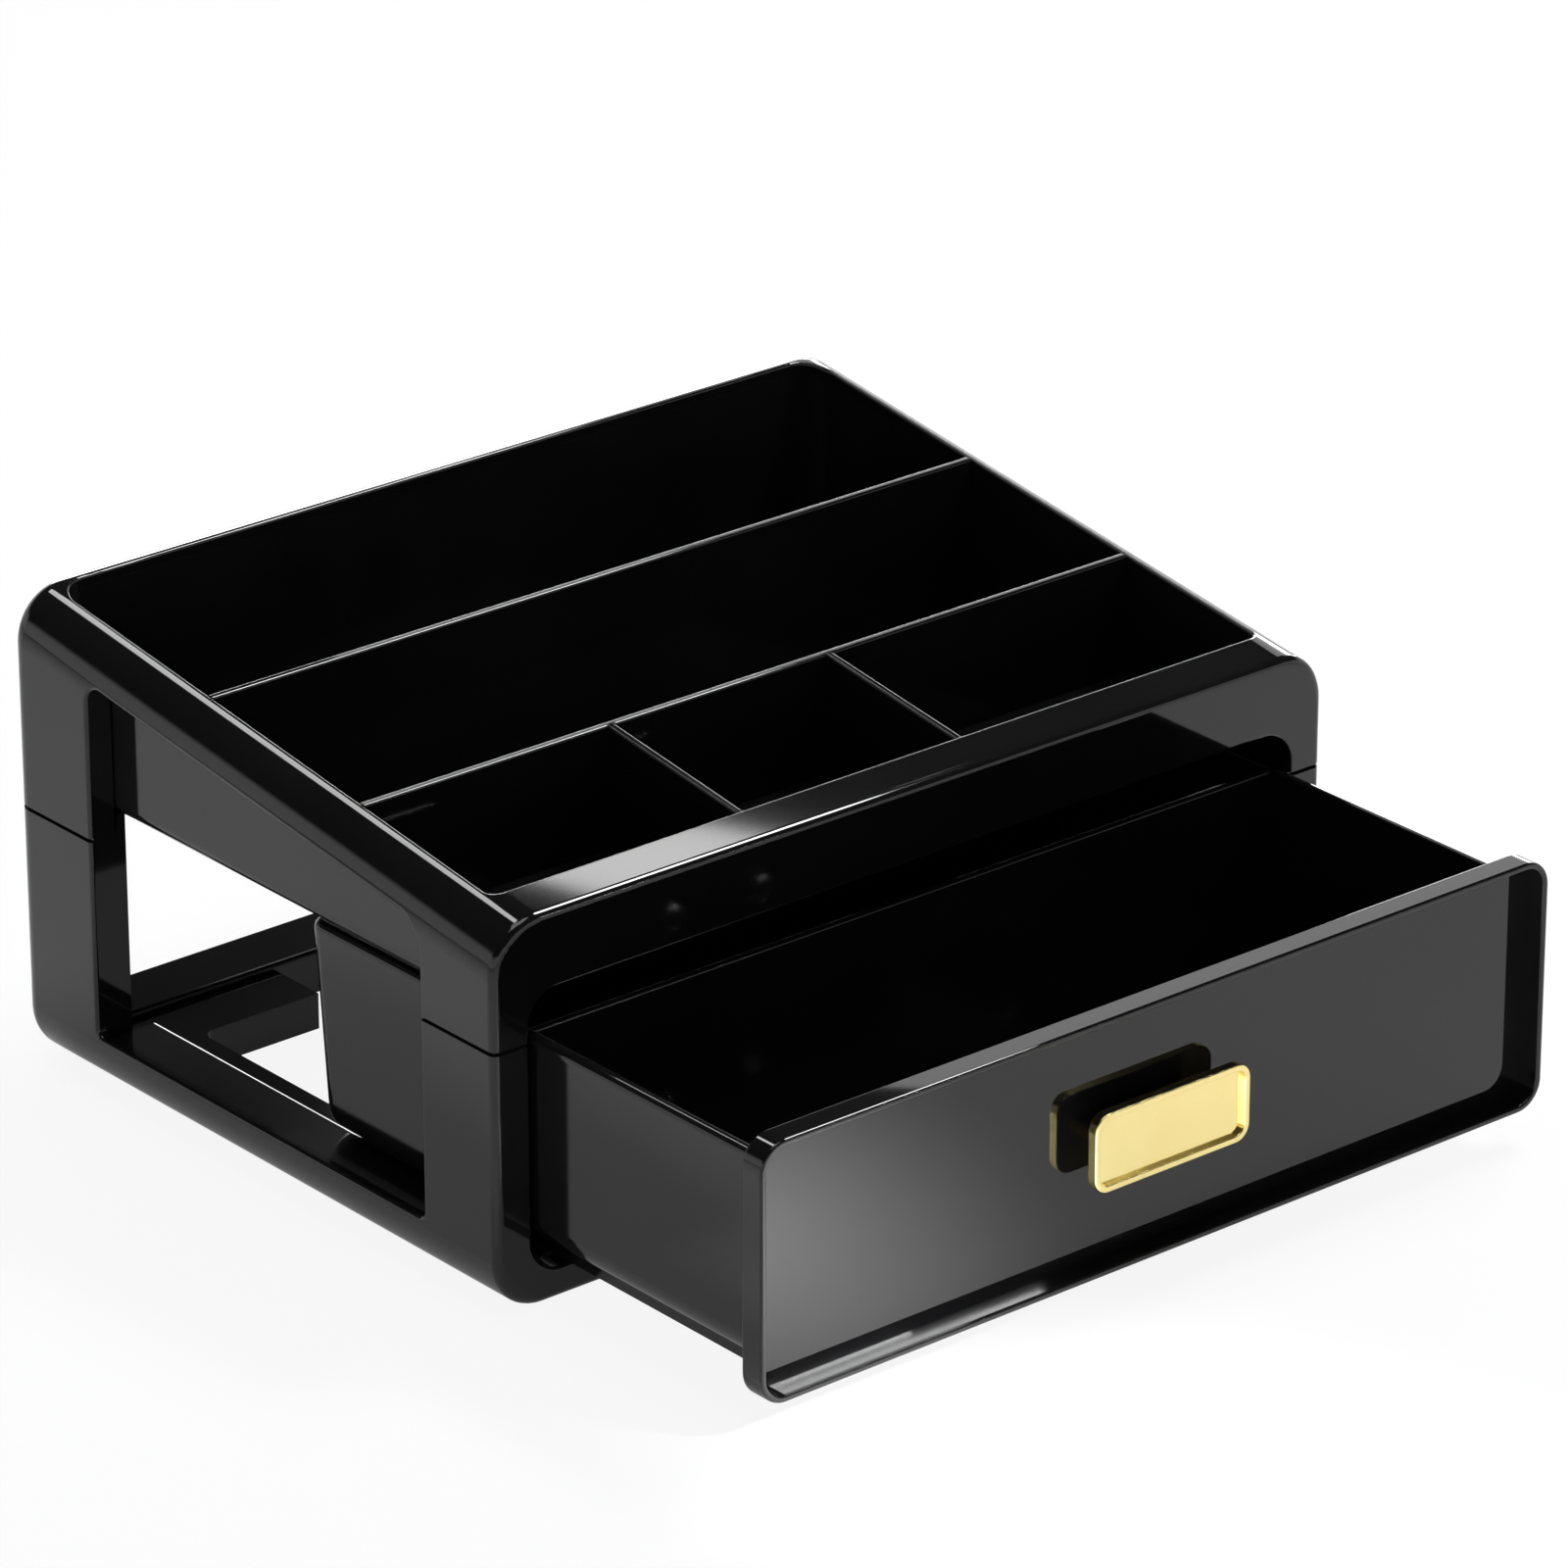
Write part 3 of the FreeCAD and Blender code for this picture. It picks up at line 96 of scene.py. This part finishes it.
class Sheet:
    """A material's node tree: node() makes any node, and drive() feeds the Principled shader."""

    def __init__(self, name, **constants):
        self.material = bpy.data.materials.new(name)
        self.material.use_nodes = True
        self.tree = self.material.node_tree
        self.shader = self.tree.nodes["Principled BSDF"]
        for socket, value in constants.items():
            self.shader.inputs[socket.replace("_", " ")].default_value = value

    def connect(self, source, target):
        if isinstance(source, Value):
            self.tree.links.new(source.socket, target)
        else:
            target.default_value = source

    def node(self, kind, settings=None, output=0, **inputs):
        made = self.tree.nodes.new(f"ShaderNode{kind}")
        for name, value in (settings or {}).items():
            setattr(made, name, value)
        for name, value in inputs.items():
            key = int(name[1:]) if name[0] == "_" else name.replace("_", " ")
            self.connect(value, made.inputs[key])
        return Value(self, made.outputs[output])

    def noise(self, scale, detail, roughness):
        """Noise in the object's own space, with scale in cells per metre."""
        place = self.node("TexCoord", output="Object")
        return self.node("TexNoise", Vector=place, Scale=scale, Detail=detail,
                         Roughness=roughness)

    def ramp(self, value, low, high, new_low, new_high):
        return self.node("MapRange", _0=value, _1=low, _2=high, _3=new_low, _4=new_high)

    def mix(self, factor, first, second):
        return self.node("Mix", {"data_type": "RGBA"}, output=2, _0=factor, _6=first, _7=second)

    def bump(self, height, distance):
        return self.node("Bump", Height=height, Distance=distance)

    def drive(self, socket, value):
        self.connect(value, self.shader.inputs[socket])


def paint(sheet, *names):
    """Put the sheet's material on these CAD nodes."""
    for name in names:
        slots = nodes[name].data.materials
        slots.clear()
        slots.append(sheet.material)


def black_plastic(name, polish, waves, haze=0.35):
    """Moulded plastic: roughness of the polish, height of the waves, share of handling haze."""
    black = (0.0045, 0.0045, 0.005, 1.0)
    hazy = (0.011, 0.011, 0.0115, 1.0)
    sheet = Sheet(name, IOR=1.5)
    handling = sheet.noise(16.0, 4.0, 0.55)
    grain = sheet.noise(1400.0, 2.0, 0.6)
    wave = sheet.noise(7.0, 1.0, 0.4)
    hazed = sheet.ramp(handling, 0.4, 0.75, 0.0, haze)
    sheet.drive("Base Color", sheet.mix(hazed, black, hazy))
    patchy = sheet.ramp(handling, 0.3, 0.7, polish * 0.88, polish * 1.12)
    sheet.drive("Roughness", patchy + grain * (polish * 0.25))
    sheet.drive("Normal", sheet.bump(wave + grain * 0.001, waves))
    return sheet


paint(black_plastic("deck_black", polish=0.045, waves=0.0009), "upper_deck")


# The base is the second moulding, in the same polished black, a shade less even because its
# lower walls are handled more.

paint(black_plastic("base_black", polish=0.055, waves=0.0009, haze=0.6), "base_frame")


# The tray is a separate moulding that drops in from below. It is polished on the side that
# shows, and its four dividers are cut from glossy sheet and pushed into slots.

paint(black_plastic("tray_black", polish=0.07, waves=0.0007, haze=0.6), "compartment_tray")
paint(black_plastic("divider_black", polish=0.05, waves=0.0004), "tray_divider_front",
      "tray_divider_rear", "tray_divider_left", "tray_divider_middle")


# The drawer runs between two strips that are pegged to the ledges of the base. They are moulded
# in the same black, and the drawer has rubbed them a little hazier.

paint(black_plastic("rail_black", polish=0.09, waves=0.0005, haze=0.8), "guide_rail_left",
      "guide_rail_right")


# The drawer tub is a thin-walled moulding with a slightly softer shine than the deck, and its
# cross plate slips between ribs.

paint(black_plastic("tub_black", polish=0.085, waves=0.0010, haze=0.5), "drawer_tub")
paint(black_plastic("drawer_divider_black", polish=0.07, waves=0.0005), "drawer_divider")


# The drawer front is the showpiece: a flat panel sunk in a thin rim, moulded in one and polished
# like a piano lid.

paint(black_plastic("fascia_black", polish=0.02, waves=0.0002, haze=0.2), "drawer_fascia")


# The handle is a cast plate with a raised border on two turned posts, plated in pale polished
# gold. Buffing left it slightly uneven, and the plating has a very fine orange peel.

gold = Sheet("handle_gold", Metallic=1.0)
buff = gold.noise(55.0, 3.0, 0.6)
gold.drive("Base Color", gold.mix(buff, (0.99, 0.79, 0.33, 1.0), (1.0, 0.86, 0.40, 1.0)))
gold.drive("Roughness", gold.ramp(buff, 0.3, 0.7, 0.10, 0.19))
gold.drive("Normal", gold.bump(gold.noise(900.0, 2.0, 0.6), 0.000015))
paint(gold, "handle_plate", "handle_posts")


# The screws are zinc-plated steel with a cross recess. Pan heads hold the drawer front and the
# handle from inside the tub, and small countersunk heads sit flush inside the legs.

steel = Sheet("screw_steel", Metallic=1.0)
grain = steel.noise(500.0, 3.0, 0.6)
steel.drive("Base Color", steel.mix(grain, (0.48, 0.48, 0.50, 1.0), (0.64, 0.64, 0.67, 1.0)))
steel.drive("Roughness", steel.ramp(grain, 0.3, 0.7, 0.2, 0.36))
steel.drive("Normal", steel.bump(grain, 0.00001))
paint(steel, "handle_washers")


def solids_of(name):
    """The lowest and highest corner of each separate solid in a CAD node."""
    weld = 1e-7
    form = bmesh.new()
    form.from_mesh(nodes[name].data)
    bmesh.ops.remove_doubles(form, verts=form.verts, dist=weld)
    waiting = set(form.verts)
    found = []
    while waiting:
        front = [waiting.pop()]
        members = list(front)
        while front:
            for edge in front.pop().link_edges:
                for vert in edge.verts:
                    if vert in waiting:
                        waiting.remove(vert)
                        front.append(vert)
                        members.append(vert)
        low = Vector(min(v.co[i] for v in members) for i in range(3))
        high = Vector(max(v.co[i] for v in members) for i in range(3))
        found.append((low, high))
    form.free()
    return sorted(found, key=lambda pair: tuple(round(c, 4) for c in pair[0]))


def turned(name, profile, steps=64):
    """A solid of revolution about Z through points (radius, height), closed on the axis."""
    on_axis = 1e-9
    angles = [2 * math.pi * i / steps for i in range(steps)]
    form = bmesh.new()
    rings = []
    for radius, height in profile:
        if radius < on_axis:
            rings.append([form.verts.new((0, 0, height))])
            continue
        rings.append([form.verts.new((radius * math.cos(a), radius * math.sin(a), height))
                      for a in angles])
    for below, above in zip(rings, rings[1:]):
        for i in range(steps):
            j = (i + 1) % steps
            if len(below) == 1:
                form.faces.new((below[0], above[j], above[i]))
            elif len(above) == 1:
                form.faces.new((below[i], below[j], above[0]))
            else:
                form.faces.new((below[i], below[j], above[j], above[i]))
    bmesh.ops.recalc_face_normals(form, faces=form.faces)
    mesh = bpy.data.meshes.new(name)
    form.to_mesh(mesh)
    form.free()
    return bpy.data.objects.new(name, mesh)


def driver_blade(name, reach, thickness, top, depth, turned_by):
    """One tapered wing of the cross that the driver's tip leaves in a head."""
    outside = (top + depth, reach * 1.6, thickness * 0.8)
    bottom = (top - depth, reach * 0.42, thickness * 0.38)
    form = bmesh.new()
    corners = []
    for height, length, half in (outside, bottom):
        corners.append([form.verts.new((sx * length, sy * half, height))
                        for sx, sy in ((-1, -1), (1, -1), (1, 1), (-1, 1))])
    upper, lower = corners
    form.faces.new(upper)
    form.faces.new(lower[::-1])
    for i in range(4):
        j = (i + 1) % 4
        form.faces.new((upper[i], lower[i], lower[j], upper[j]))
    bmesh.ops.recalc_face_normals(form, faces=form.faces)
    form.transform(Matrix.Rotation(turned_by, 4, "Z"))
    mesh = bpy.data.meshes.new(name)
    form.to_mesh(mesh)
    form.free()
    return bpy.data.objects.new(name, mesh)


def cut_cross(screw, reach, thickness, top, depth, angle):
    """Cut the two wings of the recess into a screw and keep the result as its mesh."""
    scene.collection.objects.link(screw)
    blades = []
    for i in range(2):
        blade = driver_blade("driver", reach, thickness, top, depth, angle + i * math.pi / 2)
        scene.collection.objects.link(blade)
        blades.append(blade)
        cut = screw.modifiers.new(f"wing_{i}", "BOOLEAN")
        cut.operation = "DIFFERENCE"
        cut.solver = "EXACT"
        cut.object = blade
    bpy.context.view_layer.update()
    graph = bpy.context.evaluated_depsgraph_get()
    mesh = bpy.data.meshes.new_from_object(screw.evaluated_get(graph))
    screw.modifiers.clear()
    screw.data = mesh
    for blade in blades:
        bpy.data.objects.remove(blade)


def screw_set(name, body, profile_of, reach, thickness, depth, facing):
    """Replace a CAD node of screws by ones with a cross recess.

    reach, thickness and depth of the cross are shares of the head's width, and facing gives the
    way that a head faces from the screw's place.
    """
    first_angle, next_angle = 0.35, 1.13
    crease = math.radians(32)
    for i, (low, high) in enumerate(solids_of(name)):
        centre = (low + high) / 2
        size = high - low
        side = facing(centre)
        length = abs(size.dot(side))
        width = size.z
        piece = turned(f"{name}_{i + 1}", profile_of(width / 2, length))
        cut_cross(piece, reach * width, thickness * width, length / 2, depth * width,
                  first_angle + next_angle * i)
        stand = side.to_track_quat("Z", "Y").to_matrix().to_4x4()
        piece.data.transform(Matrix.Translation(centre) @ stand)
        piece.data.materials.clear()
        piece.data.materials.append(steel.material)
        piece.data.shade_smooth()
        piece.data.set_sharp_from_angle(angle=crease)
        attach(piece, body)
        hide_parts(name)


def pan_screw(shank_share, cap):
    """Outline of a pan-head screw: its shank is a share of the head's width, its cap a height."""
    def outline(radius, length):
        top, bottom = length / 2, -length / 2
        seat = top - cap
        shank = radius * shank_share
        dome = [(radius * math.cos(a), seat + cap * (0.35 + 0.65 * math.sin(a)))
                for a in [math.radians(d) for d in range(0, 90, 10)]]
        return [(0, bottom), (shank * 0.8, bottom), (shank, bottom + shank * 0.3),
                (shank, seat), (radius * 0.97, seat), (radius, seat + cap * 0.06)] \
            + dome + [(0, top)]
    return outline


def flush_screw(radius, length):
    """Outline of a countersunk screw, whose cone has a short straight edge and a tiny round."""
    top, bottom = length / 2, -length / 2
    edge, softened = 0.0001, 0.00003
    shank = radius * 2.4 / 5.8
    sunk = radius - shank
    return [(0, bottom), (shank * 0.7, bottom), (shank, bottom + shank * 0.5),
            (shank, top - sunk - edge), (radius, top - edge), (radius, top - softened),
            (radius * 0.96, top), (0, top)]


def backward(centre):
    """Heads inside the tub face the back."""
    return Vector((0, 1, 0))


def inward(centre):
    """Heads inside the legs face the middle."""
    return Vector((math.copysign(1, -centre.x), 0, 0))


screw_set("fascia_screws", "drawer", pan_screw(2.4 / 9.0, 0.0015), reach=0.24, thickness=0.06,
          depth=0.1, facing=backward)
screw_set("handle_screws", "drawer", pan_screw(4.0 / 7.5, 0.0024), reach=0.28, thickness=0.07,
          depth=0.18, facing=backward)
screw_set("leg_screws", "organizer", flush_screw, reach=0.28, thickness=0.07, depth=0.16,
          facing=inward)


# The feet are discs of soft rubber, pressed into seats under the corners of the base.

rubber = Sheet("foot_rubber", IOR=1.45)
speckle = rubber.noise(1500.0, 3.0, 0.6)
rubber.drive("Base Color", rubber.mix(speckle, (0.015, 0.015, 0.015, 1.0),
                                      (0.035, 0.035, 0.035, 1.0)))
rubber.drive("Roughness", rubber.ramp(speckle, 0.3, 0.7, 0.6, 0.8))
rubber.drive("Normal", rubber.bump(speckle, 0.00008))
paint(rubber, "rubber_foot_front_left", "rubber_foot_front_right", "rubber_foot_rear_left",
      "rubber_foot_rear_right")


# The studio has a white floor that keeps the object's shadow, and a room that is white low down
# and dark above, so that upright faces mirror white and the tops stay black between the lamps.
# far_floor is the tone of the floor at the horizon, which the camera sees in the room as well.

reach = 6.0
far_floor = 0.91
floor_mesh = bpy.data.meshes.new("floor")
floor_mesh.from_pydata([(-reach, -reach, 0), (reach, -reach, 0), (reach, reach, 0),
                        (-reach, reach, 0)], [], [(0, 1, 2, 3)])
floor = bpy.data.objects.new("floor", floor_mesh)
scene.collection.objects.link(floor)
pale = Sheet("floor_pale", Base_Color=(0.92, 0.92, 0.92, 1.0), Roughness=0.9)
glow = pale.node("Emission", Color=(1.0, 1.0, 1.0, 1.0), Strength=1.0)
seen = (pale.node("LightPath", output="Is Camera Ray") * 0.9
        + pale.node("LightPath", output="Is Glossy Ray") * 0.3
        + pale.node("LightPath", output="Is Transmission Ray") * 0.3)
surface = Value(pale, pale.shader.outputs[0])
whitened = pale.node("MixShader", _0=seen, _1=surface, _2=glow)
pale.connect(whitened, pale.tree.nodes["Material Output"].inputs["Surface"])
floor_mesh.materials.append(pale.material)

world = bpy.data.worlds.new("studio")
scene.world = world
world.use_nodes = True


class Room(Sheet):
    """The world's node tree, with the same methods as a material's."""

    def __init__(self, world):
        self.tree = world.node_tree
        self.shader = self.tree.nodes["Background"]


room = Room(world)
direction = room.node("TexCoord", output="Generated")
height = room.node("SeparateXYZ", output="Z", Vector=direction)
white_to_dark = room.ramp(height, 0.22, 0.33, 0.9, 0.04)
to_camera = room.node("LightPath", output="Is Camera Ray")
room.drive("Color", (1.0, 1.0, 1.0, 1.0))
room.drive("Strength", white_to_dark * (1 - to_camera) + to_camera * far_floor)


def hang(data, place, aim):
    """Hang a lamp at its place, pointing at what it is aimed at and unseen by the camera."""
    made = bpy.data.objects.new(data.name, data)
    scene.collection.objects.link(made)
    made.location = place
    made.rotation_mode = "QUATERNION"
    made.rotation_quaternion = (Vector(aim) - Vector(place)).to_track_quat("-Z", "Y")
    made.visible_camera = False


def soft_box(name, place, aim, width, height, watts):
    """A rectangular lamp."""
    data = bpy.data.lights.new(name, "AREA")
    data.shape = "RECTANGLE"
    data.size = width
    data.size_y = height
    data.energy = watts
    hang(data, place, aim)


# The large boxes light the whole object. The strips and the card each draw one bright line or
# band: along the lip of the drawer front, on the front rim and on the top of the drawer front.

soft_box("top_box", (-0.2, -0.2, 1.8), (0.0, 0.0, 0.05), 1.2, 0.8, 8)
soft_box("back_box", (-0.1, 0.9, 1.42), (-0.1, 0.0, 0.1), 0.18, 0.55, 2.5)
soft_box("right_box", (0.72, 0.0, 1.35), (0.0, 0.0, 0.1), 0.5, 0.30, 15)
soft_box("low_strip", (1.5, 1.7, 0.42), (0.0, 0.0, 0.1), 1.8, 0.4, 26)
soft_box("lip_strip_outer", (0.475, -0.8105, 0.4725), (0.475, -0.1455, 0.015), 0.16, 0.0015, 0.10)
soft_box("lip_strip_inner", (0.445, -0.8165, 0.4725), (0.445, -0.1515, 0.015), 0.10, 0.001, 0.07)
soft_box("rim_strip", (0.40, 0.40, 0.60), (-0.07, -0.05, 0.115), 0.22, 0.03, 0.13)
soft_box("drawer_card", (0.62, 0.50, 0.43), (0.0, -0.15, 0.08), 0.65, 0.22, 0.6)


# A narrow spot makes a small pool of light on the floor, which the drawer front mirrors as the
# soft patch at its lower left.

pool = bpy.data.lights.new("floor_pool", "SPOT")
pool.energy = 700
pool.spot_size = math.radians(5.8)
pool.spot_blend = 1.0
pool.shadow_soft_size = 0.05
hang(pool, (0.45, -1.15, 0.85), (-0.074, -0.242, 0.0))
